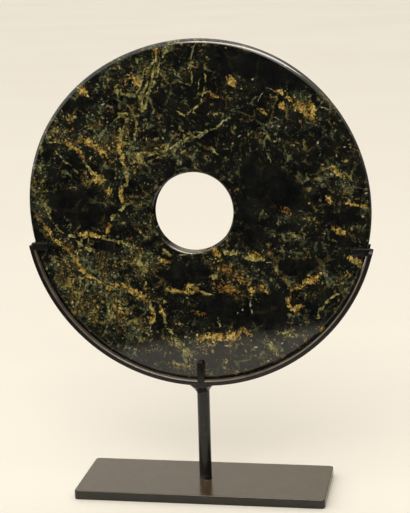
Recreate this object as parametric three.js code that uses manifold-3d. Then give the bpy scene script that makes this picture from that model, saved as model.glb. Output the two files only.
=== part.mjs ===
// Polished stone bi disc held upright in a steel cradle, on a rod and a base plate.
// Millimetres, +Z up, the face towards -Y, the origin under the middle of the base plate.
import * as THREE from 'three';
import { mergeVertices } from 'three/addons/utils/BufferGeometryUtils.js';
import Module from 'manifold-3d';

const wasm = await Module();
wasm.setup();

const GAP = 0.3;                  // clearance between pieces that bear on each other

// Stone disc, hand cut: each wave is [waves round the ring, rise, angle of a crest in degrees]
const DISC_RADIUS = 152.5;
const DISC_THICKNESS = 14.5;
const DISC_CENTRE_Z = 258.7;
const DISC_ARRIS = 2.4;           // rounding of the rim's two edges
const DISC_WAVES = [[2, 0.54, -30], [3, 0.68, 33], [4, 0.55, -23]];
const HOLE_RADIUS = 36;
const HOLE_ARRIS = 1.4;
const HOLE_OFFSET = new THREE.Vector2(-3.6, 0.2);
const HOLE_WAVES = [[2, 0.6, 45]];
const DISC_STATIONS = 120;
const ARRIS_STEPS = 3;

// Cradle: a flat bar bent to an arc, its centre given from the disc's centre
const CRADLE_CENTRE = new THREE.Vector2(0.5, -0.65);
const CRADLE_INNER_RADIUS = 152.5;
const CRADLE_BAR = 4.8;
const CRADLE_DEPTH = 22;
const CRADLE_LEFT_END = 190.8;    // degrees from +X, anticlockwise as seen from the front
const CRADLE_RIGHT_END = 347.4;
const CRADLE_SEGMENTS = 36;
const BAR_EASE = 0.6;             // small bevel along the bar's edges

// Tabs at the cradle's ends and a finger at its foot keep the disc from tipping out
const KEEPER_THICKNESS = 3;
const KEEPER_EASE = 0.4;
const TAB_INNER_X = 136.5;
const TAB_HEIGHT = 6.6;
const LEFT_TAB_TOP = -27.5;       // below the disc's centre
const RIGHT_TAB_TOP = -30.2;
const FINGER_WIDTH = 6.4;
const FINGER_TOP = -135.4;
const FINGER_SHOULDER = 1.8;      // height and inset of the sloped shoulders at its top

// Rod, with the weld that spreads out under the cradle
const ROD_RADIUS = 5.7;
const ROD_SIDES = 40;
const WELD_RADIUS = 10.8;
const WELD_DROP = 8.6;            // from the cradle's underside down to where the rod runs plain

// Base plate
const PLATE_WIDTH = 228.6;
const PLATE_DEPTH = 87.4;
const PLATE_THICKNESS = 8.4;
const PLATE_CORNER = 3.5;
const PLATE_EASE = 0.8;

const cradleOuterRadius = CRADLE_INNER_RADIUS + CRADLE_BAR;
const cradleCentreZ = DISC_CENTRE_Z + CRADLE_CENTRE.y;
const cradleUnderside = cradleCentreZ - cradleOuterRadius;

const stone = new THREE.MeshStandardMaterial({ color: 0x2b3026, roughness: 0.15, metalness: 0 });
const blackenedSteel = new THREE.MeshStandardMaterial({ color: 0x3a322c, roughness: 0.45, metalness: 0.8 });

const object = new THREE.Group();

function addPiece(name, geometry, material) {
  const mesh = new THREE.Mesh(geometry, material.clone());
  mesh.name = name;
  object.add(mesh);
  return mesh;
}

// ---- shared shapes ----------------------------------------------------------------------

// A shape drawn in X and Z, extruded through the depth from frontY towards +Y, edges eased.
function extrudeThrough(shape, frontY, depth, ease, curveSegments = 3) {
  const geometry = new THREE.ExtrudeGeometry(shape, {
    depth: depth - 2 * ease,
    bevelEnabled: true,
    bevelThickness: ease,
    bevelSize: ease,
    bevelOffset: -ease,
    bevelSegments: 1,
    curveSegments,
  });
  geometry.rotateX(Math.PI / 2);
  geometry.translate(0, frontY + depth - ease, 0);
  return geometry;
}

function wavyRadius(radius, waves, angle) {
  return waves.reduce((sum, [count, rise, crest]) => (
    sum + rise * Math.cos(count * (angle - THREE.MathUtils.degToRad(crest)))
  ), radius);
}

// ---- stone disc -------------------------------------------------------------------------

// Points round one rounded arris: how far in from the edge, and where through the thickness.
function arrisPoints(radius, faceSide, edge) {
  return Array.from({ length: ARRIS_STEPS + 1 }, (_, step) => {
    const turn = (step / ARRIS_STEPS) * Math.PI / 2;
    return {
      edge,
      inset: radius * (1 - Math.sin(turn)),
      y: faceSide * (DISC_THICKNESS / 2 - radius * (1 - Math.cos(turn))),
    };
  });
}

function discGeometry() {
  const section = [
    ...arrisPoints(DISC_ARRIS, -1, 'rim'),
    ...arrisPoints(DISC_ARRIS, 1, 'rim').reverse(),
    ...arrisPoints(HOLE_ARRIS, 1, 'hole'),
    ...arrisPoints(HOLE_ARRIS, -1, 'hole').reverse(),
  ];
  const positions = [];
  const triangles = [];
  for (let station = 0; station < DISC_STATIONS; station += 1) {
    const angle = (station / DISC_STATIONS) * Math.PI * 2;
    const direction = new THREE.Vector2(Math.cos(angle), Math.sin(angle));
    const next = (station + 1) % DISC_STATIONS;
    section.forEach(({ edge, inset, y }, index) => {
      const onRim = edge === 'rim';
      const radius = onRim
        ? wavyRadius(DISC_RADIUS, DISC_WAVES, angle) - inset
        : wavyRadius(HOLE_RADIUS, HOLE_WAVES, angle) + inset;
      const centre = onRim ? new THREE.Vector2() : HOLE_OFFSET;
      positions.push(centre.x + direction.x * radius, y, centre.y + direction.y * radius);
      const after = (index + 1) % section.length;
      const here = station * section.length;
      const there = next * section.length;
      triangles.push(here + index, here + after, there + after);
      triangles.push(here + index, there + after, there + index);
    });
  }
  const geometry = new THREE.BufferGeometry();
  geometry.setAttribute('position', new THREE.Float32BufferAttribute(positions, 3));
  geometry.setIndex(triangles);
  return geometry;
}

// ---- cradle -----------------------------------------------------------------------------

function cradleGeometry() {
  const start = THREE.MathUtils.degToRad(CRADLE_LEFT_END);
  const end = THREE.MathUtils.degToRad(CRADLE_RIGHT_END);
  const shape = new THREE.Shape();
  shape.absarc(CRADLE_CENTRE.x, CRADLE_CENTRE.y, cradleOuterRadius, start, end, false);
  shape.absarc(CRADLE_CENTRE.x, CRADLE_CENTRE.y, CRADLE_INNER_RADIUS, end, start, true);
  shape.closePath();
  return extrudeThrough(shape, -CRADLE_DEPTH / 2, CRADLE_DEPTH, BAR_EASE, CRADLE_SEGMENTS);
}

// A flat tab that reaches in from the bar's inner face, its outer end cut to the bar's curve.
function tabShape(side, top) {
  const bottom = top - TAB_HEIGHT;
  const radius = CRADLE_INNER_RADIUS - GAP;
  const angleAt = (height) => {
    const rise = Math.asin((height - CRADLE_CENTRE.y) / radius);
    return side > 0 ? rise : Math.PI - rise;
  };
  const shape = new THREE.Shape();
  shape.moveTo(side * TAB_INNER_X, top);
  shape.lineTo(side * TAB_INNER_X, bottom);
  const [from, to] = [angleAt(bottom), angleAt(top)];
  shape.absarc(CRADLE_CENTRE.x, CRADLE_CENTRE.y, radius, from, to, side < 0);
  shape.closePath();
  return shape;
}

// A short upright finger on the lowest point of the bar, with sloped shoulders.
function fingerShape() {
  const bottom = CRADLE_CENTRE.y - CRADLE_INNER_RADIUS + GAP;
  const half = FINGER_WIDTH / 2;
  return new THREE.Shape([
    new THREE.Vector2(-half, bottom),
    new THREE.Vector2(half, bottom),
    new THREE.Vector2(half, FINGER_TOP - FINGER_SHOULDER),
    new THREE.Vector2(half - FINGER_SHOULDER, FINGER_TOP),
    new THREE.Vector2(-half + FINGER_SHOULDER, FINGER_TOP),
    new THREE.Vector2(-half, FINGER_TOP - FINGER_SHOULDER),
  ]);
}

// ---- rod --------------------------------------------------------------------------------

function toManifold(geometry) {
  const bare = geometry.clone();
  bare.deleteAttribute('normal');
  bare.deleteAttribute('uv');
  const merged = mergeVertices(bare, 1e-4);
  return new wasm.Manifold(new wasm.Mesh({
    numProp: 3,
    vertProperties: new Float32Array(merged.attributes.position.array),
    triVerts: new Uint32Array(merged.index.array),
  }));
}

function fromManifold(solid) {
  const mesh = solid.getMesh();
  const geometry = new THREE.BufferGeometry();
  geometry.setAttribute('position', new THREE.BufferAttribute(mesh.vertProperties, 3));
  geometry.setIndex(new THREE.BufferAttribute(mesh.triVerts, 1));
  return geometry;
}

function rodGeometry() {
  const plainTop = cradleUnderside - WELD_DROP;
  const weldTop = cradleUnderside - 1.5;
  const weldSteps = 5;
  const profile = [new THREE.Vector2(0, PLATE_THICKNESS), new THREE.Vector2(ROD_RADIUS, PLATE_THICKNESS)];
  for (let step = 0; step <= weldSteps; step += 1) {
    const turn = (step / weldSteps) * Math.PI / 2;
    profile.push(new THREE.Vector2(
      ROD_RADIUS + (WELD_RADIUS - ROD_RADIUS) * (1 - Math.cos(turn)),
      plainTop + (weldTop - plainTop) * Math.sin(turn),
    ));
  }
  profile.push(new THREE.Vector2(WELD_RADIUS, cradleUnderside + 2));
  profile.push(new THREE.Vector2(0, cradleUnderside + 2));
  const blank = new THREE.LatheGeometry(profile, ROD_SIDES);
  blank.rotateX(Math.PI / 2);
  const barSpace = new THREE.CylinderGeometry(cradleOuterRadius + GAP, cradleOuterRadius + GAP, 40, 360);
  barSpace.translate(CRADLE_CENTRE.x, 0, cradleCentreZ);
  return fromManifold(toManifold(blank).subtract(toManifold(barSpace)));
}

// ---- base plate -------------------------------------------------------------------------

function plateGeometry() {
  const [halfWidth, halfDepth, corner] = [PLATE_WIDTH / 2, PLATE_DEPTH / 2, PLATE_CORNER];
  const shape = new THREE.Shape();
  shape.absarc(halfWidth - corner, halfDepth - corner, corner, 0, Math.PI / 2, false);
  shape.absarc(-halfWidth + corner, halfDepth - corner, corner, Math.PI / 2, Math.PI, false);
  shape.absarc(-halfWidth + corner, -halfDepth + corner, corner, Math.PI, Math.PI * 1.5, false);
  shape.absarc(halfWidth - corner, -halfDepth + corner, corner, Math.PI * 1.5, Math.PI * 2, false);
  shape.closePath();
  const geometry = new THREE.ExtrudeGeometry(shape, {
    depth: PLATE_THICKNESS - 2 * PLATE_EASE,
    bevelEnabled: true,
    bevelThickness: PLATE_EASE,
    bevelSize: PLATE_EASE,
    bevelOffset: -PLATE_EASE,
    bevelSegments: 2,
    curveSegments: 6,
  });
  geometry.translate(0, 0, PLATE_EASE);
  return geometry;
}

// ---- the object -------------------------------------------------------------------------

addPiece('bi_disc', discGeometry(), stone).position.z = DISC_CENTRE_Z;
addPiece('cradle_bar', cradleGeometry(), blackenedSteel).position.z = DISC_CENTRE_Z;

const keepers = [
  ['left_tab', tabShape(-1, LEFT_TAB_TOP)],
  ['right_tab', tabShape(1, RIGHT_TAB_TOP)],
  ['foot_finger', fingerShape()],
];
for (const [name, shape] of keepers) {
  const front = extrudeThrough(shape, -CRADLE_DEPTH / 2, KEEPER_THICKNESS, KEEPER_EASE);
  addPiece(`front_${name}`, front, blackenedSteel).position.z = DISC_CENTRE_Z;
  const rear = extrudeThrough(shape, CRADLE_DEPTH / 2 - KEEPER_THICKNESS, KEEPER_THICKNESS, KEEPER_EASE);
  addPiece(`rear_${name}`, rear, blackenedSteel).position.z = DISC_CENTRE_Z;
}

addPiece('support_rod', rodGeometry(), blackenedSteel);
addPiece('base_plate', plateGeometry(), blackenedSteel);

export default object;
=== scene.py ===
# Polished dark-green jade bi held in a blackened steel cradle, on a rod and a base plate.
# Lengths in the shape tables are millimetres; everything that reaches Blender is metres.
import math

import bmesh
import bpy
from mathutils import Matrix, Vector, noise


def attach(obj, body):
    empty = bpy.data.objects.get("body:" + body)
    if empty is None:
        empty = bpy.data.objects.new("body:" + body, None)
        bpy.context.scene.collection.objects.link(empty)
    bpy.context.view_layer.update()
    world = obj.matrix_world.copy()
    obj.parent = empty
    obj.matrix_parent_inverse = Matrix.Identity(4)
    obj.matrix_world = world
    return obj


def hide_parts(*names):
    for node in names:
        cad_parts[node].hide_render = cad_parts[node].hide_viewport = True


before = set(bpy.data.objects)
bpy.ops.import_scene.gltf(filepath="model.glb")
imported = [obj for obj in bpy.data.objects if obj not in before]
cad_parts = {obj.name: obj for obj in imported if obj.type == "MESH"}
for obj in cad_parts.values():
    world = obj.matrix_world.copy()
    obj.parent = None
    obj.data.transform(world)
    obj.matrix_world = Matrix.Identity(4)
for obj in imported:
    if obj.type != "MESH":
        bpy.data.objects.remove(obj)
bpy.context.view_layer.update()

MM = 0.001

# ---- sizes ------------------------------------------------------------------------------------
# They are the solids' own, apart from the crowned arris, the eased edges, the weld and the laps.

# The stone: each wave is waves round the ring, rise, and the angle of a crest in degrees.
DISC_RADIUS = 152.5
DISC_THICKNESS = 14.5
DISC_CENTRE_Z = 258.7
RIM_ARRIS = 3.3              # crowned, so it takes off no more than the solid's flat 2.4 mm bevel
RIM_WAVES = [(2, 0.54, -30), (3, 0.68, 33), (4, 0.55, -23)]
HOLE_RADIUS = 36.0
HOLE_ARRIS = 1.4
HOLE_CENTRE = (-3.6, 0.2)
HOLE_WAVES = [(2, 0.6, 45)]
RIM_TAKES_OVER = (0.03, 0.96)   # shares of the way from hole to rim between which the waves go over
RING_STEPS = 360

CRADLE_CENTRE = (0.5, -0.65)
CRADLE_INNER = 152.5
CRADLE_BAR = 4.8
CRADLE_DEPTH = 22.0
CRADLE_ENDS = (190.8, 347.4)
BAR_EASE = 0.7
BAR_FRONT_EASE = 1.9         # the corner that shows in front of the stone is filed rounder
BAR_END_EASE = 0.45

KEEPER_THICKNESS = 3.0
KEEPER_EASE = 0.4
TAB_INNER_X = 136.5
TAB_HEIGHT = 6.6
LEFT_TAB_TOP = -27.5
RIGHT_TAB_TOP = -30.2
FINGER_WIDTH = 6.4
FINGER_TOP = -135.4
FINGER_SHOULDER = 1.8
SEAM = 1.5                   # how far a keeper laps over the bar's filed corner

ROD_RADIUS = 5.7
ROD_FOOT = [(0.5, -0.2), (0.35, 0.25), (0.0, 0.7)]  # the small fillet on the plate: (out, up)
WELD_LEFT = (9.2, 10.2)      # how far the weld spreads under the bar, and how far it runs down
WELD_RIGHT = (7.0, 7.5)
WELD_HOLLOW = 1.5            # the power that hollows the fillet
WELD_LUMPS = 0.35
WELD_LIMIT = 10.6            # the weld stays inside this radius, near the bar's depth, ...
WELD_RUN_OUT = 2.4           # ... but runs out this much further on its left
WELD_OVERLAP = 0.15

PLATE = (228.6, 87.4, 8.4)
PLATE_CORNER = 3.5
PLATE_EASE = 0.8
PLATE_GUARD = 0.4            # the strip that keeps the plate's flats flat beside their eased edges

GUARD = 0.25                 # a narrow strip beside a round, so that the flat next to it shades flat

CRADLE_OUTER = CRADLE_INNER + CRADLE_BAR
CRADLE_Z = DISC_CENTRE_Z + CRADLE_CENTRE[1]


# ---- shaping helpers ----------------------------------------------------------------------

def finish_piece(name, mesh, node, material, soft_angle=40):
    """Turns a bmesh in millimetres into a finished piece that stands for a solid."""
    bmesh.ops.remove_doubles(mesh, verts=mesh.verts, dist=1e-4)
    bmesh.ops.recalc_face_normals(mesh, faces=mesh.faces)
    limit = math.radians(soft_angle)
    for edge in mesh.edges:
        edge.smooth = len(edge.link_faces) == 2 and edge.calc_face_angle() < limit
    for face in mesh.faces:
        face.smooth = True
    bmesh.ops.scale(mesh, vec=(MM, MM, MM), verts=mesh.verts)
    data = bpy.data.meshes.new(name)
    mesh.to_mesh(data)
    mesh.free()
    data.materials.append(material)
    piece = bpy.data.objects.new(name, data)
    bpy.context.scene.collection.objects.link(piece)
    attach(piece, "root")
    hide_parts(node)
    return piece


def closed_wire(mesh, points):
    """A closed loop of edges through the points, ready to be spun."""
    verts = [mesh.verts.new(point) for point in points]
    edges = [mesh.edges.new((a, b)) for a, b in zip(verts, verts[1:] + verts[:1])]
    return verts + edges


def quarter_round(centre, radius, start, steps):
    """Points round a quarter circle, from the start angle on, anticlockwise."""
    return [
        (centre[0] + radius * math.cos(math.radians(start + 90 * i / steps)),
         centre[1] + radius * math.sin(math.radians(start + 90 * i / steps)))
        for i in range(steps + 1)
    ]


def tangent(angle):
    turn = math.radians(angle + 90)
    return Vector((math.cos(turn), math.sin(turn)))


def eased_section(low, high, eases, steps):
    """A rectangle with rounded corners, each corner with its own radius, and a guard point
    just past each end of a round."""
    corners = [((high[0], high[1]), (-1, -1), 0), ((low[0], high[1]), (1, -1), 90),
               ((low[0], low[1]), (1, 1), 180), ((high[0], low[1]), (-1, 1), 270)]
    points = []
    for (corner, inward, start), ease in zip(corners, eases):
        centre = (corner[0] + inward[0] * ease, corner[1] + inward[1] * ease)
        arc = quarter_round(centre, ease, start, steps)
        before = Vector(arc[0]) - GUARD * tangent(start)
        after = Vector(arc[-1]) + GUARD * tangent(start + 90)
        points += [tuple(before), *arc, tuple(after)]
    return points


def facet_length(turn):
    """How far the ground edge runs while it faces this way, in radians from the stone's face."""
    if 0.66 < turn <= 0.9:
        return 1.0
    return 0.45 if 0.4 < turn <= 0.66 else 0.12


def crowned_arris(leg, steps=18):
    """A hand-ground edge as (inset from the wall, depth from the face) pairs, from face to wall:
    it turns quickly off the face, runs as a crowned facet, then turns quickly into the wall."""
    turns = [math.pi / 2 * (i + 0.5) / steps for i in range(steps)]
    lengths = [facet_length(turn) for turn in turns]
    scale = leg / sum(length * math.cos(turn) for length, turn in zip(lengths, turns))
    inset, depth, points = leg, 0.0, [(leg + GUARD, 0.0), (leg, 0.0)]
    for length, turn in zip(lengths, turns):
        inset -= scale * length * math.cos(turn)
        depth += scale * length * math.sin(turn)
        points.append((max(inset, 0.0), depth))
    return [*points, (0.0, depth + GUARD)]


def disc_section():
    """The stone's section: radius against depth, all the way round."""
    half = DISC_THICKNESS / 2
    rim, hole = crowned_arris(RIM_ARRIS), crowned_arris(HOLE_ARRIS)
    return [
        *[(DISC_RADIUS - inset, depth - half) for inset, depth in rim],
        *[(DISC_RADIUS - inset, half - depth) for inset, depth in reversed(rim)],
        *[(HOLE_RADIUS + inset, half - depth) for inset, depth in hole],
        *[(HOLE_RADIUS + inset, depth - half) for inset, depth in reversed(hole)],
    ]


def wave_rise(waves, angle):
    """How far the waves lift an outline at an angle in radians."""
    return sum(rise * math.cos(count * (angle - math.radians(crest))) for count, rise, crest in waves)


# ---- the stone ------------------------------------------------------------------------------

def stone_disc(material):
    mesh = bmesh.new()
    bmesh.ops.spin(
        mesh, geom=closed_wire(mesh, [(x, y, 0) for x, y in disc_section()]), cent=(0, 0, 0),
        axis=(0, -1, 0), angle=2 * math.pi, steps=RING_STEPS, use_merge=True)
    first, last = RIM_TAKES_OVER
    for vert in mesh.verts:
        radius = math.hypot(vert.co.x, vert.co.z)
        angle = math.atan2(vert.co.z, vert.co.x)
        outward = (radius - HOLE_RADIUS) / (DISC_RADIUS - HOLE_RADIUS)
        share = min(1, max(0, (outward - first) / (last - first)))
        grown = radius + share * wave_rise(RIM_WAVES, angle) + (1 - share) * wave_rise(HOLE_WAVES, angle)
        vert.co.x = grown * math.cos(angle) + (1 - share) * HOLE_CENTRE[0]
        vert.co.z = grown * math.sin(angle) + (1 - share) * HOLE_CENTRE[1]
    bmesh.ops.translate(mesh, vec=(0, 0, DISC_CENTRE_Z), verts=mesh.verts)
    return finish_piece("jade_bi", mesh, "bi_disc", material)


# ---- the cradle -----------------------------------------------------------------------------

def cradle_bar(material):
    mesh = bmesh.new()
    start, end = (math.radians(angle) for angle in CRADLE_ENDS)
    low, high = (CRADLE_INNER, -CRADLE_DEPTH / 2), (CRADLE_OUTER, CRADLE_DEPTH / 2)
    section = eased_section(low, high, (BAR_EASE, BAR_EASE, BAR_FRONT_EASE, BAR_EASE), 6)
    wire = closed_wire(mesh, [(x, y, 0) for x, y in section])
    bmesh.ops.rotate(mesh, verts=mesh.verts, cent=(0, 0, 0), matrix=Matrix.Rotation(-start, 3, "Y"))
    bmesh.ops.spin(mesh, geom=wire, cent=(0, 0, 0), axis=(0, -1, 0), angle=end - start, steps=180)
    ends = [edge for edge in mesh.edges if edge.is_boundary]
    caps = bmesh.ops.holes_fill(mesh, edges=ends, sides=0)["faces"]
    rims = list({edge for cap in caps for edge in cap.edges})
    bmesh.ops.bevel(mesh, geom=rims, offset=BAR_END_EASE, segments=2, profile=0.5, affect="EDGES",
                    material=-1)
    bmesh.ops.translate(mesh, vec=(CRADLE_CENTRE[0], 0, CRADLE_Z), verts=mesh.verts)
    return finish_piece("cradle_arc", mesh, "cradle_bar", material)


def keeper(name, node, outline, front_y, material, welded):
    """A flat keeper cut to an outline in X and Z; the edges where it is welded stay square."""
    mesh = bmesh.new()
    face = mesh.faces.new([mesh.verts.new((x, front_y, z)) for x, z in outline])
    grown = bmesh.ops.extrude_face_region(mesh, geom=[face])["geom"]
    bmesh.ops.translate(
        mesh, vec=(0, KEEPER_THICKNESS, 0), verts=[g for g in grown if isinstance(g, bmesh.types.BMVert)])
    bmesh.ops.recalc_face_normals(mesh, faces=mesh.faces)
    free = [edge for edge in mesh.edges
            if edge.calc_face_angle() > 0.4 and not all(welded(vert.co) for vert in edge.verts)]
    bmesh.ops.bevel(
        mesh, geom=free, offset=KEEPER_EASE, segments=3, profile=0.5, affect="EDGES", material=-1)
    bmesh.ops.translate(mesh, vec=(0, 0, DISC_CENTRE_Z), verts=mesh.verts)
    return finish_piece(name, mesh, node, material, soft_angle=25)


def tab_outline(side, top):
    """A tab that reaches in from the bar, its outer end cut to the bar's inner curve."""
    bottom = top - TAB_HEIGHT
    reach = CRADLE_INNER + SEAM
    heights = [bottom + TAB_HEIGHT * i / 6 for i in range(7)]
    curve = [
        (CRADLE_CENTRE[0] + side * math.sqrt(reach ** 2 - (z - CRADLE_CENTRE[1]) ** 2), z) for z in heights
    ]
    return [(side * TAB_INNER_X, top), (side * TAB_INNER_X, bottom), *curve]


def finger_outline():
    bottom = CRADLE_CENTRE[1] - CRADLE_INNER - SEAM
    half, shoulder = FINGER_WIDTH / 2, FINGER_SHOULDER
    return [
        (-half, bottom), (half, bottom), (half, FINGER_TOP - shoulder), (half - shoulder, FINGER_TOP),
        (-half + shoulder, FINGER_TOP), (-half, FINGER_TOP - shoulder),
    ]


def keepers(material):
    def on_the_bar(point):
        from_centre = math.hypot(point.x - CRADLE_CENTRE[0], point.z - CRADLE_CENTRE[1])
        return from_centre > CRADLE_INNER

    outlines = {
        "left_tab": tab_outline(-1, LEFT_TAB_TOP),
        "right_tab": tab_outline(1, RIGHT_TAB_TOP),
        "foot_finger": finger_outline(),
    }
    for name, outline in outlines.items():
        for side, front_y in (("front", -CRADLE_DEPTH / 2), ("rear", CRADLE_DEPTH / 2 - KEEPER_THICKNESS)):
            keeper(f"{side}_{name}_steel", f"{side}_{name}", outline, front_y, material, on_the_bar)


# ---- rod and base plate ----------------------------------------------------------------------

def bar_underside(x):
    """The height of the bar's outer face over a place on the X axis."""
    return CRADLE_Z - math.sqrt(CRADLE_OUTER ** 2 - (x - CRADLE_CENTRE[0]) ** 2)


def support_rod(material):
    """A plain rod that spreads into a hand-laid fillet weld under the bar, fuller on its left."""
    mesh = bmesh.new()
    foot = PLATE[2]
    underside = CRADLE_Z - CRADLE_OUTER
    drop = WELD_LEFT[1]
    plain_top = underside - drop
    profile = [(0, foot + ROD_FOOT[0][1]), *[(ROD_RADIUS + out, foot + rise) for out, rise in ROD_FOOT]]
    profile += [(ROD_RADIUS, foot + (plain_top - foot) * i / 12) for i in range(1, 13)]
    profile += [(ROD_RADIUS, plain_top + drop * i / 20) for i in range(1, 21)] + [(0, underside)]
    verts = [mesh.verts.new((r, 0, z)) for r, z in profile]
    edges = [mesh.edges.new(pair) for pair in zip(verts, verts[1:])]
    bmesh.ops.spin(mesh, geom=verts + edges, cent=(0, 0, 0), axis=(0, 0, 1), angle=2 * math.pi,
                   steps=72, use_merge=True)
    for vert in mesh.verts:
        below = underside - vert.co.z
        reach = math.hypot(vert.co.x, vert.co.y)
        if below < drop and reach > 1:
            leftness = 0.5 - 0.5 * vert.co.x / reach
            spread, run = (b + (a - b) * leftness for a, b in zip(WELD_LEFT, WELD_RIGHT))
            fillet = spread * max(0, 1 - below / run) ** WELD_HOLLOW
            lump = WELD_LUMPS * noise.noise(vert.co * 0.5) * min(1, fillet)
            limit = WELD_LIMIT - ROD_RADIUS + WELD_RUN_OUT * leftness ** 3
            grown = (reach + min(fillet + lump, limit)) / reach
            vert.co.x *= grown
            vert.co.y *= grown
        rise = max(0, 1 - below / drop)
        vert.co.z += rise * (bar_underside(vert.co.x) + WELD_OVERLAP - underside)
    return finish_piece("rod", mesh, "support_rod", material)


def base_plate(material):
    mesh = bmesh.new()
    bmesh.ops.create_cube(mesh, size=1)
    bmesh.ops.scale(mesh, vec=PLATE, verts=mesh.verts)
    bmesh.ops.translate(mesh, vec=(0, 0, PLATE[2] / 2), verts=mesh.verts)
    upright = [edge for edge in mesh.edges if abs(edge.verts[0].co.z - edge.verts[1].co.z) > 1]
    bmesh.ops.bevel(mesh, geom=upright, offset=PLATE_CORNER, segments=10, profile=0.5, affect="EDGES",
                    material=-1)
    flats = [face for face in mesh.faces if abs(face.normal.z) > 0.9]
    rims = [edge for face in flats for edge in face.edges]
    bmesh.ops.bevel(mesh, geom=rims, offset=PLATE_EASE, segments=4, profile=0.5, affect="EDGES", material=-1)
    flats = [face for face in mesh.faces if abs(face.normal.z) > 0.99 and len(face.verts) > 8]
    bmesh.ops.inset_individual(mesh, faces=flats, thickness=PLATE_GUARD)
    return finish_piece("plate", mesh, "base_plate", material)


# ---- materials ------------------------------------------------------------------------------

# A soft step between two marks; it falls instead of rising where the first mark is the higher.
SMOOTH = {"interpolation_type": "SMOOTHSTEP", "clamp": False}


def linear(hex_colour, alpha=1.0):
    """A hex sRGB colour as the linear numbers that a shader works in."""
    parts = [int(hex_colour[i:i + 2], 16) / 255 for i in (1, 3, 5)]
    return (*[c / 12.92 if c <= 0.04045 else ((c + 0.055) / 1.055) ** 2.4 for c in parts], alpha)


def node(tree, kind, inputs=(), out=0, stops=(), **settings):
    """Adds a node with its settings and gives back one of its outputs, or all with out=None.
    Inputs, in order or by key, are numbers, colours or other nodes' outputs; stops are a colour
    ramp's (place, hex colour) pairs."""
    made = tree.nodes.new("ShaderNode" + kind)
    for name, value in settings.items():
        setattr(made, name, value)
    for _ in stops[2:]:
        made.color_ramp.elements.new(0.5)
    for spot, (place, colour) in enumerate(stops):
        made.color_ramp.elements[spot].position = place
        made.color_ramp.elements[spot].color = linear(colour)
    for key, value in inputs.items() if isinstance(inputs, dict) else enumerate(inputs):
        if isinstance(value, bpy.types.NodeSocket):
            tree.links.new(value, made.inputs[key])
        else:
            made.inputs[key].default_value = value
    return made.outputs if out is None else made.outputs[out]


def new_material(name):
    material = bpy.data.materials.new(name)
    material.use_nodes = True
    tree = material.node_tree
    tree.nodes.clear()
    return material, tree


def millimetres(tree, centre):
    """The piece's own place in millimetres, measured from a centre given in millimetres."""
    return node(tree, "Mapping", {
        "Vector": node(tree, "TexCoord", out="Object"), "Location": [-c for c in centre],
        "Scale": (1 / MM,) * 3})


def from_axis(tree, place):
    """How far a place is from the Y axis through the centre."""
    ring = node(tree, "VectorMath", (place, (1, 0, 1)), operation="MULTIPLY")
    return node(tree, "VectorMath", (ring,), "Value", operation="LENGTH")


def warped(tree, where, size, amount):
    """The place shifted about by a soft noise of that size, by some of that amount."""
    drift = node(tree, "TexNoise", {"Vector": where, "Scale": 1 / size, "Detail": 2.0}, "Color")
    centred = node(tree, "VectorMath", (drift, (0.5, 0.5, 0.5)), operation="SUBTRACT")
    shift = node(tree, "VectorMath", {0: centred, "Scale": amount}, operation="SCALE")
    return node(tree, "VectorMath", (where, shift), operation="ADD")


def strokes(tree, where, paths, feather=0.25, depth=40):
    """How much of a stroke a place is in, 0 to 1. A path is (width, strength, points), drawn as
    pinched lenses from point to point, as a mineral fills a crack. The lenses are in a node group
    of their own, which builds much faster than one long tree."""
    group = bpy.data.node_groups.new("strokes", "ShaderNodeTree")
    group.interface.new_socket("Place", in_out="INPUT", socket_type="NodeSocketVector")
    group.interface.new_socket("Inside", in_out="OUTPUT", socket_type="NodeSocketFloat")
    place = group.nodes.new("NodeGroupInput").outputs[0]
    total = None
    for width, strength, points in paths:
        for (x0, z0), (x1, z1) in zip(points, points[1:]):
            length = math.hypot(x1 - x0, z1 - z0)
            lens = node(group, "Mapping", {
                "Vector": place, "Location": ((x0 + x1) / 2, 0, (z0 + z1) / 2),
                "Rotation": (0, -math.atan2(z1 - z0, x1 - x0), 0),
                "Scale": (length / 2 + width * 0.6, depth, width / 2),
            }, vector_type="TEXTURE")
            glow = node(group, "TexGradient", (lens,), 1, gradient_type="SPHERICAL")
            inside = node(group, "MapRange", (glow, 0.0, 1 - feather, 0.0, strength), **SMOOTH)
            total = node(group, "Math", (total, inside), operation="MAXIMUM") if total else inside
    group.links.new(total, group.nodes.new("NodeGroupOutput").inputs[0])
    drawn = tree.nodes.new("ShaderNodeGroup")
    drawn.node_tree = group
    tree.links.new(where, drawn.inputs[0])
    return drawn.outputs[0]


def specks(tree, where, size, share, softness=0.3):
    """Scattered specks of that size; share is how many cells have one."""
    cells = node(tree, "TexVoronoi", {"Vector": where, "Scale": 1 / size, "Randomness": 1.0}, None)
    luck = node(tree, "SeparateColor", (cells["Color"],))
    reach = node(tree, "MapRange", (luck, 0.0, share, 0.62, 0.0))
    inside = node(tree, "Math", (reach, cells["Distance"]), operation="SUBTRACT")
    return node(tree, "MapRange", (inside, 0.0, softness), **SMOOTH)


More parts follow.
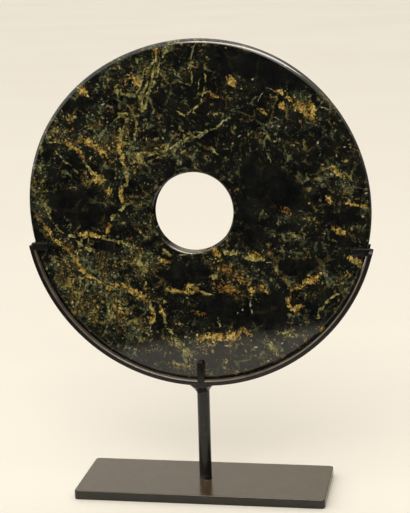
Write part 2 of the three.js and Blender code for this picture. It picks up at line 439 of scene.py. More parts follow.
# The figuring, in millimetres from the disc's centre: (width, strength, points along it).
GOLD = [
    (9, 1.0, [(-103, 107), (-97, 103)]), (9, 0.9, [(-57, 115), (-50, 110)]),
    (8, 0.9, [(-95, 30), (-88, 24)]), (6, 0.9, [(-82, 18), (-78, 12)]), (5, 1.0, [(-71, 17), (-69, 6)]),
    (8, 0.9, [(-104, 62), (-92, 55), (-79, 48)]), (5, 0.9, [(-69, 66), (-67, 50), (-66, 38)]),
    (5, 0.8, [(-119, 62), (-112, 57), (-103, 47)]), (7, 1.0, [(30, 114), (34, 110)]),
    (6, 0.8, [(11, 101), (17, 98)]), (6, 0.9, [(68, 104), (74, 100)]), (5, 0.9, [(77, 96), (82, 92)]),
    (5, 0.9, [(73, 90), (77, 87)]), (5, 0.8, [(57, 86), (61, 82)]),
    (9, 1.0, [(88, 92), (96, 86), (103, 78)]), (8, 0.9, [(98, 92), (104, 84)]),
    (6, 0.8, [(116, 38), (127, 28)]), (4, 0.9, [(127, 6), (138, 4), (149, 2)]),
    (5, 1.0, [(112, 11), (115, 5)]), (7, 1.0, [(120, -18), (127, -22)]),
    (7, 0.9, [(-142, -15), (-136, -26)]), (5, 1.0, [(-110, -24), (-101, -23), (-92, -27)]),
    (4, 1.0, [(-84, -23), (-80, -12)]), (6, 1.0, [(-133, -29), (-127, -33)]),
    (4, 0.9, [(-127, -34), (-116, -43), (-111, -53), (-106, -61), (-99, -65), (-89, -70), (-83, -75)]),
    (5, 0.9, [(-81, -69), (-74, -71), (-66, -74)]), (7, 1.0, [(-67, -75), (-58, -79), (-51, -83)]),
    (6, 0.8, [(-79, -92), (-70, -97)]), (5, 0.9, [(-48, -89), (-45, -98), (-50, -107)]),
    (5, 0.8, [(-37, -89), (-36, -98)]), (6, 0.9, [(-38, -46), (-30, -50)]),
    (5, 0.9, [(-30, -73), (-19, -75), (2, -76)]), (5, 0.9, [(-12, -70), (-7, -72)]),
    (7, 0.9, [(8, -35), (16, -42)]), (7, 1.0, [(45, -39), (53, -43)]), (9, 1.0, [(91, -66), (103, -60)]),
    (5, 0.9, [(80, -72), (93, -68)]), (3.5, 1.0, [(80, -79), (77, -86), (82, -90)]),
    (6, 1.0, [(82, -90), (89, -88)]), (5, 0.9, [(84, -88), (86, -94)]),
    (9, 1.0, [(-4, -119), (8, -116)]), (10, 1.0, [(6, -117), (20, -117), (29, -116)]),
    (7, 0.9, [(30, -114), (36, -110), (43, -113)]), (7, 0.8, [(42, -70), (48, -78)]),
    (6, 0.8, [(54, -71), (60, -75)]), (6, 1.0, [(137, -43), (142, -48)]), (6, 0.9, [(142, -47), (148, -51)]),
    (5, 0.8, [(130, -45), (136, -43)]), (6, 1.0, [(106, -108), (110, -109)]),
]
OLIVE = [
    (4, 0.8, [(-31, 134), (-45, 119), (-50, 103)]), (4, 0.8, [(-29, 129), (-37, 110), (-48, 84)]),
    (8, 0.8, [(-70, 108), (-69, 100)]), (9, 0.8, [(-130, 72), (-124, 68)]),
    (8, 0.8, [(-78, 135), (-66, 138)]), (7, 0.8, [(-22, 149), (-15, 147)]),
    (4, 0.8, [(-68, 72), (-67, 56), (-68, 45), (-62, 25)]), (10, 0.7, [(-60, 50), (-47, 40)]),
    (4, 0.7, [(-143, 9), (-134, -6)]), (5, 0.7, [(-142, 63), (-141, 45), (-144, 30)]),
    (12, 0.8, [(117, 102), (131, 88)]), (5, 0.6, [(8, 84), (25, 84)]), (5, 0.6, [(10, 58), (21, 44)]),
    (10, 0.8, [(115, 40), (128, 27)]), (8, 0.5, [(60, 68), (70, 58)]),
    (3, 0.8, [(-142, 5), (-134, -12), (-123, -25), (-110, -28)]),
    (5, 0.8, [(-92, -29), (-81, -29), (-72, -32), (-59, -33)]), (4, 0.8, [(-80, -12), (-75, -3), (-61, 6)]),
    (5, 0.8, [(-113, -30), (-108, -36), (-98, -40)]), (9, 0.7, [(-87, -90), (-84, -101), (-90, -107)]),
    (7, 0.8, [(-61, -45), (-55, -54), (-51, -58)]), (6, 0.8, [(-34, -37), (-28, -41)]),
    (14, 0.7, [(-28, -117), (-18, -128), (-14, -136)]), (8, 0.7, [(-31, -141), (-9, -145)]),
    (9, 0.7, [(16, -37), (39, -42), (57, -46)]), (8, 0.7, [(8, -61), (14, -61)]),
    (16, 0.6, [(54, -120), (72, -132)]), (12, 0.5, [(65, -110), (90, -116)]),
    (4, 0.9, [(132, -69), (123, -76), (114, -81), (110, -86), (103, -91), (103, -98)]),
    (4, 0.9, [(-22, 151), (-22, 142), (-29, 131), (-40, 113), (-47, 101), (-49, 85)]),
    (3, 0.8, [(-43, 126), (-49, 108), (-54, 99), (-68, 101)]), (3, 0.7, [(-47, 99), (-38, 103), (-36, 116)]),
    (4, 0.9, [(-74, 83), (-58, 83), (-65, 74), (-68, 59)]),
    (4, 0.8, [(-61, 52), (-47, 45), (-32, 49), (-27, 52), (-14, 59)]),
    (3, 0.7, [(4, 115), (2, 101), (14, 103)]), (3, 0.7, [(-22, 86), (-5, 81), (4, 94)]),
    (3, 0.8, [(-106, -61), (-112, -72), (-119, -79)]), (3, 0.8, [(-86, -81), (-85, -94), (-88, -103)]),
    (3, 0.8, [(-76, -85), (-72, -95)]), (5, 0.7, [(-47, -83), (-47, -97), (-49, -110)]),
    (4, 0.7, [(-38, -86), (-36, -101)]), (4, 0.7, [(-54, -40), (-58, -52), (-50, -65), (-54, -74)]),
    (3, 0.8, [(-137, 59), (-119, 59), (-108, 52), (-101, 41), (-92, 27)]),
    (3, 0.6, [(16, -96), (17, -112)]), (3, 0.7, [(62, 66), (58, 52), (66, 40)]),
    (12, 0.6, [(128, -42), (148, -50)]), (8, 0.5, [(78, -21), (90, -25)]),
]
RUST = [
    (5, 1.0, [(-116, 58), (-107, 51), (-101, 41)]), (8, 0.7, [(-37, 139), (-31, 136)]),
    (8, 0.8, [(74, -1), (82, -5)]), (11, 1.0, [(18, -51), (31, -60)]), (8, 0.9, [(32, -60), (42, -69)]),
    (12, 1.0, [(12, -68), (34, -76)]), (7, 0.8, [(-10, -94), (4, -97)]), (6, 0.7, [(-31, -141), (-9, -145)]),
    (7, 0.7, [(0, -116), (12, -120)]),
]
PALE = [
    (2.6, 0.8, [(0, 151), (-4, 128), (-6, 121)]), (2.6, 0.9, [(-29, 50), (-6, 67), (11, 68)]),
    (2.6, 0.9, [(-2, 61), (13, 70), (31, 80)]), (1.8, 0.7, [(-24, 123), (-6, 108)]),
    (1.8, 0.7, [(-129, 50), (-116, 42)]), (1.6, 0.7, [(59, 105), (51, 88)]),
    (1.6, 0.7, [(59, 106), (68, 104)]),
    (1.6, 0.7, [(66, 82), (73, 77)]), (1.6, 0.5, [(15, 143), (28, 146)]), (1.6, 0.5, [(19, 101), (39, 102)]),
    (1.6, 0.6, [(104, 89), (119, 87)]), (1.8, 0.7, [(-24, -43), (-7, -40), (2, -40)]),
    (1.8, 0.7, [(56, -48), (66, -50)]), (2.2, 0.8, [(44, -83), (43, -89), (45, -96)]),
    (2.2, 0.9, [(30, -96), (33, -93)]), (1.6, 0.6, [(71, -37), (90, -40)]),
    (1.6, 0.5, [(89, -34), (100, -34)]),
    (1.6, 0.6, [(150, -8), (142, -21)]), (2.4, 0.8, [(139, -25), (142, -30)]),
    (1.6, 0.6, [(50, -63), (61, -66)]), (1.6, 0.5, [(17, -121), (17, -132)]),
]
# The thin branching veins that net the left half together: (width, strength, points along it).
NET = [
    (2.6, 1.0, [(0, 153), (-1, 142), (-3.5, 130), (-2.5, 121), (-3.5, 108)]),
    (2.6, 1.0, [(-31, 138), (-35, 127), (-37, 120), (-39, 109), (-40, 102), (-45, 93), (-48, 84)]),
    (2.4, 1.0, [(-54, 136), (-51, 125), (-48, 118), (-49, 109), (-51, 102)]),
    (3.0, 1.0, [(-68, 100), (-60, 101), (-53, 100), (-45, 98), (-39, 104)]),
    (3.0, 1.0, [(-74, 76), (-67, 83), (-58, 84), (-54, 80), (-55, 69), (-58, 60), (-63, 57),
               (-68, 61), (-69, 72)]),
    (4.2, 1.0, [(-69, 57), (-68, 48), (-67, 39), (-65, 30), (-63, 21), (-70, 17)]),
    (3.0, 1.0, [(-63, 50), (-56, 47), (-49, 50), (-42, 47), (-35, 50), (-28, 51), (-28, 57)]),
    (2.6, 1.0, [(-59, 45), (-54, 40), (-45, 40), (-38, 43), (-31, 47)]),
    (3.6, 1.0, [(-22, 48), (-15, 57), (-9, 62), (0, 63), (5, 67)]),
    (2.4, 1.0, [(5, 67), (10, 69), (18, 71), (24, 76), (31, 80)]),
    (2.4, 1.0, [(-16, 75), (-11, 67), (-2, 64)]),
    (3.0, 1.0, [(-121, 60), (-114, 57), (-107, 51), (-103, 43), (-100, 37), (-96, 30), (-84, 22)]),
    (1.8, 0.9, [(-130, 52), (-123, 45), (-112, 37), (-107, 30)]), (1.6, 0.9, [(-25, 124), (-17, 120)]),
    (1.6, 0.9, [(-16, 113), (-9, 109), (-3, 107)]),
    (2.2, 1.0, [(8, 127), (9, 120), (8, 109), (6, 97), (3, 91), (-4, 87), (-8, 83), (-19, 85)]),
    (2.6, 1.0, [(-139, -26), (-123, -37), (-113, -49), (-107, -59), (-96, -66), (-88, -70),
               (-78, -74), (-66, -76)]),
    (3.4, 1.0, [(-66, -76), (-57, -80), (-52, -85)]), (2.4, 1.0, [(-107, -59), (-114, -75), (-118, -84)]),
    (2.2, 0.9, [(-103, -63), (-109, -77), (-117, -86)]), (2.4, 1.0, [(-107, -25), (-112, -39), (-112, -48)]),
    (2.6, 1.0, [(-132, -15), (-122, -24), (-109, -28), (-101, -25), (-91, -29), (-78, -30), (-66, -32)]),
    (2.6, 0.9, [(-66, -32), (-57, -37), (-52, -48), (-48, -57)]),
    (2.2, 1.0, [(-82, -14), (-85, -24), (-91, -29)]),
    (1.6, 0.9, [(-35, -39), (-24, -41), (-6, -42), (8, -40)]),
    (2.4, 1.0, [(-35, -75), (-17, -76), (-3, -76), (12, -78)]),
    (2.8, 0.9, [(-87, -87), (-85, -100), (-89, -107)]), (3.0, 0.8, [(-47, -87), (-44, -98), (-48, -107)]),
    (4.0, 0.8, [(-39, -84), (-35, -96), (-33, -109), (-24, -116), (-21, -130), (-15, -143)]),
    (2.2, 0.8, [(-98, -40), (-104, -34), (-101, -25)]), (2.0, 0.8, [(-146, -8), (-140, -20), (-134, -29)]),
]
# Chalky white crystals, as places.
WHITE = [
    (-83, 93), (77, 125), (106, 58), (128, 53), (116, 30), (71, 72), (37, 64), (146, 14), (50, 112),
    (110, 108), (-47, -112), (-24, -123), (48, -126), (71, -122), (37, -91), (-71, -47), (-38, -44),
]
# Plain black ground, and the ground that is crowded with small crystals.
PLAIN = [
    (38, 1.0, [(20, 132), (100, 112)]), (52, 1.0, [(52, 30), (76, 14)]), (36, 1.0, [(-125, 8), (-92, -8)]),
    (24, 1.0, [(-34, -60), (6, -60)]), (28, 1.0, [(-16, -94), (58, -94)]),
    (14, 0.9, [(-92, -34), (-80, -34)]),
    (20, 1.0, [(74, -50), (102, -50)]), (30, 0.9, [(66, -80), (68, -106)]), (18, 1.0, [(114, -9), (136, -9)]),
    (26, 0.8, [(44, 0), (50, -26)]), (22, 0.8, [(-30, 100), (-12, 84)]),
]
CROWDED = [
    (70, 1.0, [(-120, -50), (-58, -86)]), (50, 1.25, [(-128, -64), (-92, -108)]),
    (36, 0.8, [(-130, 66), (-104, 60)]), (50, 0.9, [(-74, -40), (-40, -58)]),
    (36, 0.7, [(-60, 10), (-44, -30)]), (60, 1.0, [(-100, 70), (-60, 50)]),
    (40, 0.8, [(-50, 52), (-16, 52)]), (70, 0.55, [(-84, 100), (-40, 124)]),
    (60, 1.0, [(-100, -92), (-56, -112)]), (22, 0.9, [(-146, 40), (-142, -20)]),
    (40, 0.8, [(10, -46), (44, -66)]), (30, 0.8, [(-20, -124), (40, -118)]),
    (40, 0.5, [(80, 96), (126, 80)]), (34, 0.5, [(110, 40), (140, 10)]),
    (40, 0.6, [(110, -60), (130, -60)]), (40, 0.5, [(60, -124), (90, -108)]),
    (40, 0.5, [(84, 4), (96, -20)]),
]


# The jade's patterns: sizes in millimetres, masks from 0 to 1, colours from dark to light. A noise's
# scale is one over the size of its clouds, or of its crystals.
VEIN_DIP = (0.3, -0.4, 0.55)     # how far the figuring moves on for each millimetre into the stone
CRYSTAL_SIZES = (3.0, 1.7)
GROUND = [(0.35, "#0a0b0d"), (0.55, "#121312"), (0.75, "#1f201b")]
HAZE = [(0.3, "#141a17"), (0.7, "#262c22")]
# (size, threshold, amount, golden colours, green colours)
MOTTLING = [
    (12, 0.44, 0.85, [(0.3, "#1a1710"), (0.5, "#352d1c"), (0.7, "#584a2c")],
     [(0.3, "#161a17"), (0.5, "#2b2f25"), (0.7, "#474a36")]),
    (5, 0.47, 0.9, [(0.3, "#252014"), (0.5, "#544829"), (0.7, "#8f7c4a")],
     [(0.3, "#1e231d"), (0.5, "#444935"), (0.7, "#787a57")]),
]
# (size, how much the width varies, how wide to start from), and the halo and core of each crack.
CRACKLE = [(19, 0.42, -0.2), (9, 0.5, -0.27)]
CRACK_LAYERS = [
    (-0.09, 0.05, 0.55, [(0.4, "#221e13"), (0.65, "#4f4427")], [(0.4, "#1a1f19"), (0.65, "#3d422f")]),
    (-0.01, 0.03, 1.0, [(0.3, "#40381f"), (0.5, "#756a38"), (0.7, "#ae9d60")],
     [(0.3, "#33382a"), (0.5, "#60654a"), (0.7, "#949673")]),
]
STRAY_GOLDEN = [(0.2, "#2b2415"), (0.4, "#554a28"), (0.6, "#857543"), (0.8, "#b5a26a")]
STRAY_GREEN = [(0.2, "#242a22"), (0.4, "#494d39"), (0.6, "#757554"), (0.8, "#a5a07c")]
# (paths, colours, how solid the middle is, how many crystals, how far the crystals spread)
FAMILIES = [
    (NET, [(0.25, "#2c2c1a"), (0.45, "#545231"), (0.62, "#817946"), (0.8, "#aa9c62")], 0.5, 0.3, 1.3),
    (OLIVE, [(0.25, "#30311e"), (0.45, "#5f5d38"), (0.62, "#918b53"), (0.8, "#b7af76")], 0.46, 0.5, 1.1),
    (RUST, [(0.25, "#2d2211"), (0.45, "#5f4822"), (0.62, "#8d6d36"), (0.8, "#b59452")], 0.24, 0.7, 1.6),
    (GOLD, [(0.2, "#33270f"), (0.4, "#745a28"), (0.6, "#aa9048"), (0.8, "#d3bf80")], 0.27, 0.9, 1.6),
    (PALE, [(0.25, "#3d4435"), (0.45, "#646b52"), (0.62, "#8b8f72"), (0.8, "#a9ab90")], 0.42, 0.2, 1.1),
]


def jade():
    """Nephrite-like stone: near-black green, with gold, olive and pale veins and crowded crystals,
    ground flat and polished until it mirrors the room."""
    material, tree = new_material("polished black-green jade")
    place = millimetres(tree, (0, 0, DISC_CENTRE_Z))
    depth = node(tree, "SeparateXYZ", (place,), "Y")
    dip = node(tree, "VectorMath", {0: VEIN_DIP, "Scale": depth}, operation="SCALE")
    dipped = node(tree, "VectorMath", (place, dip), operation="ADD")
    bent = warped(tree, warped(tree, dipped, 22, 8), 3.2, 3.4)

    fibres = node(tree, "Mapping", {
        "Vector": bent, "Rotation": (0, math.radians(35), 0), "Scale": (1.0, 1.0, 0.55)})
    crumble = node(tree, "TexNoise", {
        "Vector": fibres, "Scale": 1 / 2.4, "Detail": 5.0, "Roughness": 0.75})
    grain = node(tree, "TexNoise", {"Vector": dipped, "Scale": 1 / 1.1, "Detail": 3.0, "Roughness": 0.7})
    coarse = node(tree, "TexNoise", {"Vector": dipped, "Scale": 1 / 8, "Detail": 5.0, "Roughness": 0.7})

    # How busy the stone is, from plain black to crowded with crystals.
    plain = strokes(tree, bent, PLAIN, feather=0.5, depth=400)
    crowded = strokes(tree, bent, CROWDED, feather=0.1, depth=400)
    crowding = node(tree, "Math", (crowded, 0.5, 0.22), operation="MULTIPLY_ADD")
    patches = node(tree, "Math", (coarse, 3.0, -1.5), operation="MULTIPLY_ADD")
    filled = node(tree, "Math", (crowding, patches), operation="ADD")
    full = node(tree, "MapRange", (filled, 0.1, 0.8), **SMOOTH)
    bare = node(tree, "Math", (1.0, plain), operation="SUBTRACT")
    busy = node(tree, "Math", (full, bare), operation="MULTIPLY")
    floor = node(tree, "Math", (plain, -0.1, 0.15), operation="MULTIPLY_ADD")
    sparse = node(tree, "Math", (busy, 0.85, floor), operation="MULTIPLY_ADD")

    crystals = []
    for size in CRYSTAL_SIZES:
        cells = node(tree, "TexVoronoi", {"Vector": bent, "Scale": 1 / size, "Randomness": 1.0}, None)
        body = node(tree, "MapRange", (cells["Distance"], 0.62, 0.36), **SMOOTH)
        crystals.append((body, node(tree, "SeparateColor", (cells["Color"],), None)))
    shades = node(tree, "Math", (crystals[0][1][1], crystals[1][1][1]), operation="ADD")
    half_grain = node(tree, "Math", (grain, 0.4), operation="MULTIPLY")
    tone = node(tree, "Math", (shades, 0.3, half_grain), operation="MULTIPLY_ADD")
    regions = node(tree, "TexNoise", {"Vector": bent, "Scale": 1 / 13, "Detail": 3.0, "Roughness": 0.6})
    greener = node(tree, "MapRange", (regions, 0.42, 0.58), **SMOOTH)

    def scatter(amount, dense):
        """Crystals of both sizes where the amount beats each one's own luck."""
        total = None
        for body, luck in crystals:
            against = node(tree, "Math", (luck[0], -1.0), operation="MULTIPLY")
            margin = node(tree, "Math", (amount, dense, against), operation="MULTIPLY_ADD")
            present = node(tree, "MapRange", (margin, 0.0, 0.14), **SMOOTH)
            shown = node(tree, "Math", (present, body), operation="MULTIPLY")
            total = node(tree, "Math", (total, shown), operation="MAXIMUM") if total else shown
        return total

    def painted(ground, mask, amount, factor, golden, green=None):
        """The ground with a colour ramp laid over it, golden in parts of the stone and green in
        the others."""
        paint = node(tree, "ValToRGB", (factor,), stops=golden)
        if green:
            other = node(tree, "ValToRGB", (factor,), stops=green)
            paint = node(tree, "Mix", {0: greener, 6: paint, 7: other}, 2, data_type="RGBA")
        share = node(tree, "Math", (mask, amount), operation="MULTIPLY")
        return node(tree, "Mix", {0: share, 6: ground, 7: paint}, 2, data_type="RGBA")

    # The ground: near-black, with a dark green haze where the stone is busy.
    depths = node(tree, "TexNoise", {"Vector": dipped, "Scale": 1 / 15, "Detail": 5.0, "Roughness": 0.62})
    ground = node(tree, "ValToRGB", (depths,), stops=GROUND)
    ground = painted(ground, busy, 0.6, grain, HAZE)

    # Brown and grey-green mottling, ragged at every size.
    for size, low, amount, golden, green in MOTTLING:
        mottle = node(tree, "TexNoise", {
            "Vector": bent, "Scale": 1 / size, "Detail": 6.0, "Roughness": 0.78})
        lowered = node(tree, "Math", (mottle, 0.08), operation="SUBTRACT")
        raised = node(tree, "Math", (busy, 0.08, lowered), operation="MULTIPLY_ADD")
        shown = node(tree, "MapRange", (raised, low, low + 0.16), **SMOOTH)
        strength = node(tree, "Math", (busy, amount), operation="MULTIPLY")
        ground = painted(ground, shown, strength, grain, golden, green)

    # A crackle of veins, wider and narrower and broken off as the stone changes, each in a soft halo.
    for size, width, offset in CRACKLE:
        cracks = node(tree, "TexVoronoi", {"Vector": bent, "Scale": 1 / size}, "Distance",
                      feature="DISTANCE_TO_EDGE")
        change = node(tree, "TexNoise", {
            "Vector": dipped, "Scale": 2 / size, "Detail": 3.0, "Roughness": 0.6})
        swell = node(tree, "Math", (change, width, offset), operation="MULTIPLY_ADD")
        gap = node(tree, "Math", (swell, cracks), operation="SUBTRACT")
        for low, high, amount, golden, green in CRACK_LAYERS:
            vein = node(tree, "MapRange", (gap, low, high), **SMOOTH)
            strength = node(tree, "Math", (sparse, amount), operation="MULTIPLY")
            ground = painted(ground, vein, strength, crumble, golden, green)

    # Stray crystals, then the veins and clusters drawn above.
    ground = painted(ground, scatter(sparse, 0.29), 1.0, tone, STRAY_GOLDEN, STRAY_GREEN)
    for paths, stops, hold, dense, spread in FAMILIES:
        wide = [(width * spread, strength, points) for width, strength, points in paths]
        field = strokes(tree, bent, wide, feather=0.0)
        held = node(tree, "Math", (field, hold, crumble), operation="MULTIPLY_ADD")
        body = node(tree, "MapRange", (held, 0.66, 0.74), **SMOOTH)
        cluster = node(tree, "Math", (scatter(field, dense), body), operation="MAXIMUM")
        near = node(tree, "MapRange", (field, 0.02, 0.2), **SMOOTH)
        ground = painted(ground, cluster, near, tone, stops)
    spots = [(2.0, 1.0, [(x - 0.4, z), (x + 0.4, z + 0.4)]) for x, z in WHITE]
    chalk = node(tree, "Math", (strokes(tree, bent, spots), 0.8), operation="MULTIPLY")
    ground = node(tree, "Mix", {0: chalk, 6: ground, 7: linear("#a9aa98")}, 2, data_type="RGBA")

    # The faces are polished; the wall of the rim is only ground.
    at_rim = node(tree, "MapRange", (from_axis(tree, place), DISC_RADIUS - 3.4, DISC_RADIUS - 2.4), **SMOOTH)
    from_middle = node(tree, "Math", (depth,), operation="ABSOLUTE")
    half = DISC_THICKNESS / 2
    off_faces = node(tree, "MapRange", (from_middle, half - 1.2, half - 2.4), **SMOOTH)
    wall = node(tree, "Math", (at_rim, off_faces), operation="MULTIPLY")
    wiped = node(tree, "TexNoise", {"Vector": dipped, "Scale": 1 / 3, "Detail": 3.0, "Roughness": 0.6})
    smears = node(tree, "MapRange", (wiped, 0.2, 0.8, 0.0, 0.12), **SMOOTH)
    polish = node(tree, "Math", (wall, 0.6, smears), operation="MULTIPLY_ADD")
    swells = node(tree, "TexNoise", {"Vector": dipped, "Scale": 1 / 40, "Detail": 2.0, "Roughness": 0.5})
    relief = node(tree, "Bump", {"Height": swells, "Strength": 0.02, "Distance": 0.001})
    shader = node(tree, "BsdfPrincipled", {
        "Base Color": ground, "Roughness": polish, "IOR": 1.61, "Normal": relief})
    node(tree, "OutputMaterial", (shader,), None)
    return material


def steel(name, centre, dark, light, marks=(), painted_light=None, ior=1.42):
    """Blackened mild steel under wax: near-black, satin, a little cloudy from the blacking, with
    paler scuffs; the painted-light argument says where a paler colour is painted in as highlight and sheen,
    and between which two colours."""
    material, tree = new_material(name)
    place = millimetres(tree, centre)
    blacking = node(tree, "TexNoise", {"Vector": place, "Scale": 1 / 16, "Detail": 5.0, "Roughness": 0.6})
    colour = node(tree, "ValToRGB", (blacking,), stops=[(0.3, dark), (0.7, light)])
    # Painted light: a paler colour laid over the mask, standing in for highlight and sheen.
    if painted_light:
        where, lit_dark, lit_bright = painted_light
        lit_noise = node(tree, "TexNoise", {"Vector": place, "Scale": 1 / 22, "Detail": 4.0, "Roughness": 0.6})
        lit_colour = node(tree, "ValToRGB", (lit_noise,), stops=[(0.35, lit_dark), (0.65, lit_bright)])
        colour = node(tree, "Mix", {0: where(tree, place), 6: colour, 7: lit_colour}, 2, data_type="RGBA")
    masks = [("#6d6152", 0.12, specks(tree, place, 3.1, 0.1))]
    masks += [(tint, amount, strokes(tree, warped(tree, place, 5, 5), paths, feather=0.0, depth=400))
              for tint, amount, paths in marks]
    for tint, amount, mask in masks:
        share = node(tree, "Math", (mask, amount), operation="MULTIPLY")
        colour = node(tree, "Mix", {0: share, 6: colour, 7: linear(tint)}, 2, data_type="RGBA")
    waxing = node(tree, "TexNoise", {"Vector": place, "Scale": 1 / 5, "Detail": 5.0, "Roughness": 0.65})
    satin = node(tree, "MapRange", (waxing, 0.3, 0.7, 0.18, 0.27))
    scale = node(tree, "TexNoise", {"Vector": place, "Scale": 1 / 1.2, "Detail": 3.0, "Roughness": 0.6})
    relief = node(tree, "Bump", {"Height": scale, "Strength": 0.08, "Distance": 0.0003})
    shader = node(tree, "BsdfPrincipled", {
        "Base Color": colour, "Roughness": satin, "IOR": ior, "Normal": relief})
    node(tree, "OutputMaterial", (shader,), None)
    return material


def painted_top_sheen(tree, place):
    """The top of the base plate, measured down from it: the mask where a lighter brown is painted in as a
    painted sheen of the light from above.
    """
    return node(tree, "MapRange", (node(tree, "SeparateXYZ", (place,), "Z"), -0.9, -0.1), **SMOOTH)


def painted_corner_highlight(tree, place):
    """The bar's rounded corner in front of the stone, with the centre at the cradle's: the mask where paler
    steel is painted in as a painted highlight.
    """
    radius = from_axis(tree, place)
    inner = node(tree, "MapRange", (radius, CRADLE_INNER + 1.6, CRADLE_INNER + 0.6), **SMOOTH)
    front = node(tree, "MapRange", (node(tree, "SeparateXYZ", (place,), "Y"), -4.0, -6.0), **SMOOTH)
    return node(tree, "Math", (inner, front), operation="MULTIPLY")


# ---- building the piece -----------------------------------------------------------------------

# Scuffs on the plate, from its middle: (colour, amount, paths as for the stone).
PLATE_SCUFFS = [
    ("#7a7063", 0.5, [(5, 1.0, [(-104, 34), (-96, 30)]), (2, 0.8, [(-103, 27), (-97, 25)])]),
    ("#6a4a2c", 0.4, [(9, 0.8, [(-104, -6), (-92, -12)]), (6, 0.8, [(-70, 10), (-62, 8)])]),
    ("#7a6e5c", 0.5, [(1.2, 1.0, [(-60, 26), (-38, 22)]), (1.0, 1.0, [(30, -20), (58, -14)])]),
]

# Painted highlight: the bar's corner in front of the stone is painted paler, standing in for the light it
# catches.
bar_steel = steel("blackened steel bar", (CRADLE_CENTRE[0], 0, CRADLE_Z), "#12100f", "#1f1b19",
                  painted_light=(painted_corner_highlight, "#564f47", "#766e63"))
keeper_steel = steel("blackened steel keepers", (0, 0, DISC_CENTRE_Z), "#0e0d0c", "#191614")
rod_steel = steel("blackened steel rod", (0, 0, 0), "#11100f", "#1e1b19")
# Painted sheen: the plate's top is painted a lighter brown than its sides, standing in for the light from
# above.
plate_steel = steel("blackened steel plate", (0, 0, PLATE[2]), "#13110e", "#201c17",
                    painted_light=(painted_top_sheen, "#3e3222", "#483a28"), ior=1.5, marks=PLATE_SCUFFS)

stone_disc(jade())
cradle_bar(bar_steel)
keepers(keeper_steel)
support_rod(rod_steel)
base_plate(plate_steel)


# ---- studio -----------------------------------------------------------------------------------

def stage_sheet(name, corners, material):
    mesh = bmesh.new()
    mesh.faces.new([mesh.verts.new(corner) for corner in corners])
    bmesh.ops.recalc_face_normals(mesh, faces=mesh.faces)
    data = bpy.data.meshes.new(name)
    mesh.to_mesh(data)
    mesh.free()
    data.materials.append(material)
    sheet = bpy.data.objects.new(name, data)
    bpy.context.scene.collection.objects.link(sheet)
    return sheet


def paper():
    """Matt cream background paper, with a breath of unevenness."""
    material, tree = new_material("cream background paper")
    place = node(tree, "TexCoord", out="Object")
    tint = node(tree, "TexNoise", {"Vector": place, "Scale": 1.2, "Detail": 2.0})
    colour = node(tree, "ValToRGB", (tint,), stops=[(0.3, "#f2eee7"), (0.7, "#f5f2eb")])
    shader = node(tree, "BsdfPrincipled", {"Base Color": colour, "Roughness": 0.9})
    node(tree, "OutputMaterial", (shader,), None)
    return material


# The polished stone mirrors the room in front of it, which is dark past the edge of the paper.
FELT_HEIGHT = 0.004
FELT_START, FELT_REACH = 0.2, 14.0
FELT_EDGE, THIN_FELT = (0.32, 0.38), 0.24   # it begins here, and hides only this much of the paper
FELT_FULL = (0.55, 0.63)                    # until it turns solid here


def felt():
    """Black felt: it takes the light out of whatever mirrors it. It thins out towards the paper, so
    that what the stone mirrors has no hard edge; in front it reaches nearer on the left."""
    material, tree = new_material("black felt")
    place = node(tree, "TexCoord", out="Object")
    across = node(tree, "SeparateXYZ", (place,), "X")
    outward = node(tree, "SeparateXYZ", (node(tree, "VectorMath", (place,), operation="ABSOLUTE"),), None)
    skewed = node(tree, "Math", (across, -0.5, outward["Y"]), operation="MULTIPLY_ADD")
    reach = node(tree, "Math", (outward["X"], skewed), operation="MAXIMUM")
    tufts = node(tree, "TexNoise", {"Vector": place, "Scale": 9.0, "Detail": 3.0})
    ragged = node(tree, "Math", (tufts, 0.12, reach), operation="MULTIPLY_ADD")
    nap = node(tree, "MapRange", (ragged, *FELT_FULL, THIN_FELT, 1.0), interpolation_type="SMOOTHSTEP")
    start = node(tree, "MapRange", (reach, *FELT_EDGE), interpolation_type="SMOOTHSTEP")
    cover = node(tree, "Math", (nap, start), operation="MULTIPLY")
    cloth = node(tree, "BsdfDiffuse", {"Color": linear("#050505")})
    mixed = node(tree, "MixShader", (cover, node(tree, "BsdfTransparent"), cloth))
    node(tree, "OutputMaterial", (mixed,), None)
    return material


def square(half):
    return [(-half, -half, 0), (half, -half, 0), (half, half, 0), (-half, half, 0)]


stage_sheet("paper_floor", square(40), paper())

strip = [(-FELT_REACH, -FELT_REACH, FELT_HEIGHT), (FELT_REACH, -FELT_REACH, FELT_HEIGHT),
         (FELT_START, -FELT_START, FELT_HEIGHT), (-FELT_START, -FELT_START, FELT_HEIGHT)]
black_felt = felt()
for name, turn in (("front", 0), ("right", 90), ("back", 180), ("left", 270)):
    turned = [Matrix.Rotation(math.radians(turn), 3, "Z") @ Vector(corner) for corner in strip]
    dark = stage_sheet(f"felt_{name}", turned, black_felt)
    dark.visible_camera = dark.visible_diffuse = dark.visible_shadow = False
    dark.visible_transmission = dark.visible_volume_scatter = False


def studio_sky():
    """A white tent, dimmer low down and towards the right; whatever looks straight at the
    background sees plain cream."""
    world = bpy.data.worlds.new("soft studio")
    bpy.context.scene.world = world
    world.use_nodes = True
    tree = world.node_tree
    tree.nodes.clear()
    way = node(tree, "SeparateXYZ", (node(tree, "TexCoord", out="Generated"),), None)
    height = node(tree, "Math", (way["X"], -0.45, way["Z"]), operation="MULTIPLY_ADD")
    room = node(tree, "ValToRGB", (height,), stops=[
        (0.15, "#2b2a27"), (0.28, "#c8bca2"), (0.46, "#f7f1e6"), (1.0, "#fffaf0")])
    plain = node(tree, "LightPath", out="Is Camera Ray")
    seen = node(tree, "Mix", {0: plain, 6: room, 7: linear("#d9d2c2")}, 2, data_type="RGBA")
    light = node(tree, "Background", {"Color": seen, "Strength": 1.19})
    node(tree, "OutputWorld", (light,), None)


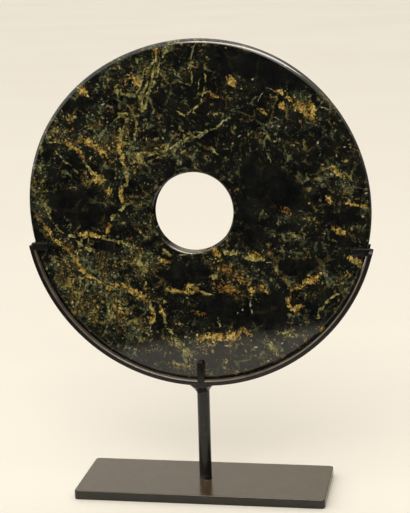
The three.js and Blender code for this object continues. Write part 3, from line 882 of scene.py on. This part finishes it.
def softbox(name, azimuth, elevation, distance, size, watts):
    """A warm white area lamp aimed at the disc; azimuth 0 is in front, positive to the right."""
    az, el = math.radians(azimuth), math.radians(elevation)
    away = Vector((math.sin(az) * math.cos(el), -math.cos(az) * math.cos(el), math.sin(el)))
    data = bpy.data.lights.new(name, "AREA")
    data.shape, data.size, data.size_y, data.energy = "RECTANGLE", *size, watts
    data.color = linear("#fff6e8")[:3]
    lamp = bpy.data.objects.new(name, data)
    bpy.context.scene.collection.objects.link(lamp)
    lamp.matrix_world = Matrix.Translation(Vector((0, 0, 0.22)) + away * distance) @ away.to_track_quat(
        "Z", "Y").to_matrix().to_4x4()
    return lamp


studio_sky()
softbox("key_softbox", azimuth=2, elevation=42, distance=3.5, size=(2.6, 1.2), watts=30)
gleam = softbox("edge_gleam", azimuth=29, elevation=70, distance=3.0, size=(2.9, 0.9), watts=112)
gleam.visible_diffuse = False    # it only draws the bright line along the stone's arris

# ---- camera -----------------------------------------------------------------------------------

AIM = Vector((0.0067, -0.0126, 0.2016))
AZIMUTH, ELEVATION, ROLL = (math.radians(angle) for angle in (10.138, 13.161, -1.581))
DISTANCE = 1.304
FOCAL_LENGTH, SENSOR_WIDTH = 103.37, 36
SHIFT_UP = 0.0413

back = Vector((math.sin(AZIMUTH) * math.cos(ELEVATION), -math.cos(AZIMUTH) * math.cos(ELEVATION),
               math.sin(ELEVATION)))
right = Vector((0, 0, 1)).cross(back).normalized()
up = back.cross(right)
rolled_right = right * math.cos(ROLL) + up * math.sin(ROLL)
rolled_up = up * math.cos(ROLL) - right * math.sin(ROLL)
camera_data = bpy.data.cameras.new("camera")
camera_data.lens, camera_data.sensor_width = FOCAL_LENGTH, SENSOR_WIDTH
camera_data.shift_y = SHIFT_UP
camera = bpy.data.objects.new("camera", camera_data)
bpy.context.scene.collection.objects.link(camera)
facing = Matrix((rolled_right, rolled_up, back)).transposed()
camera.matrix_world = Matrix.Translation(AIM + back * DISTANCE) @ facing.to_4x4()
bpy.context.scene.camera = camera
bpy.context.scene.view_settings.view_transform = "Standard"
